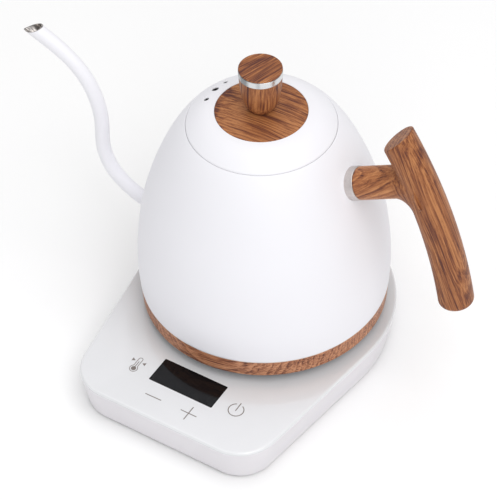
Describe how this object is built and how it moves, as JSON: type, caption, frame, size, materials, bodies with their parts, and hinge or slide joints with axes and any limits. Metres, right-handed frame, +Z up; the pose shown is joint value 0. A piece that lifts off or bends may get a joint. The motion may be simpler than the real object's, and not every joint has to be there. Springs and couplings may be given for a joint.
{
  "type": "electric gooseneck kettle",
  "caption": "Round white gooseneck kettle with a wooden handle, knob and foot ring, lifting off a flat base with a display and touch keys.",
  "frame": {"origin": "on the table, under the middle foot and below the axis of the round kettle", "axes": "+Z up from the table; -Y towards the person at the touch keys; +X to their right; the handle points 5 degrees from +X towards +Y"},
  "size_m": [0.2927, 0.2052, 0.2105],
  "materials": {
    "white_coat": "matte powder coat",
    "steel": "brushed",
    "walnut": "satin oil",
    "gloss_white": "gloss",
    "satin_white": "satin",
    "black_glass": "gloss",
    "black_plastic": "matte",
    "grey_plastic": "matte",
    "green_board": "satin",
    "copper": "satin",
    "aluminium": "satin",
    "rubber": "matte",
    "silicone": "satin"
  },
  "bodies": {
    "base": {"base_housing": "satin_white", "top_panel": "gloss_white", "display_window": "black_glass", "display_module": "black_plastic", "control_board": "green_board", "touch_springs": "copper", "buzzer": "black_plastic", "power_board": "green_board", "relay": "grey_plastic", "transformer": "black_plastic", "capacitor": "aluminium", "base_connector": "black_plastic", "connector_contacts": "copper", "bottom_plate": "grey_plastic", "bottom_screws": "steel", "feet": "rubber", "cord_gland": "black_plastic", "cord_clamp": "black_plastic"},
    "sleeve": {"connector_guard": "grey_plastic"},
    "kettle": {"kettle_shell": "white_coat", "vessel_floor": "steel", "heat_plate": "aluminium", "heating_element": "steel", "temperature_probe": "steel", "probe_seal": "silicone", "thermal_cutout": "aluminium", "wood_ring": "walnut", "ring_trim": "steel", "bottom_cover": "black_plastic", "cover_studs": "steel", "cover_screws": "steel", "kettle_socket": "black_plastic", "socket_pin": "copper", "spout_tube": "white_coat", "handle_wood": "walnut", "handle_collar": "steel", "handle_boss": "steel", "handle_stud": "steel"},
    "lid": {"lid_cap": "white_coat", "lid_liner": "steel", "lid_gasket": "silicone", "lid_disc": "walnut", "knob_body": "walnut", "knob_band": "steel", "knob_cap": "walnut", "knob_stud": "steel", "knob_nut": "steel"}
  },
  "joints": [
    {"name": "kettle_swivel", "type": "hinge", "parent": "base", "child": "sleeve", "pos_m": [0, 0, 0.03], "axis": [0, 0, 1], "continuous": true},
    {"name": "kettle_lift", "type": "slide", "parent": "sleeve", "child": "kettle", "axis": [0, 0, 1], "range_m": [0, 0.1]},
    {"name": "lid_lift", "type": "slide", "parent": "kettle", "child": "lid", "axis": [0, 0, 1], "range_m": [0, 0.06]}
  ]
}
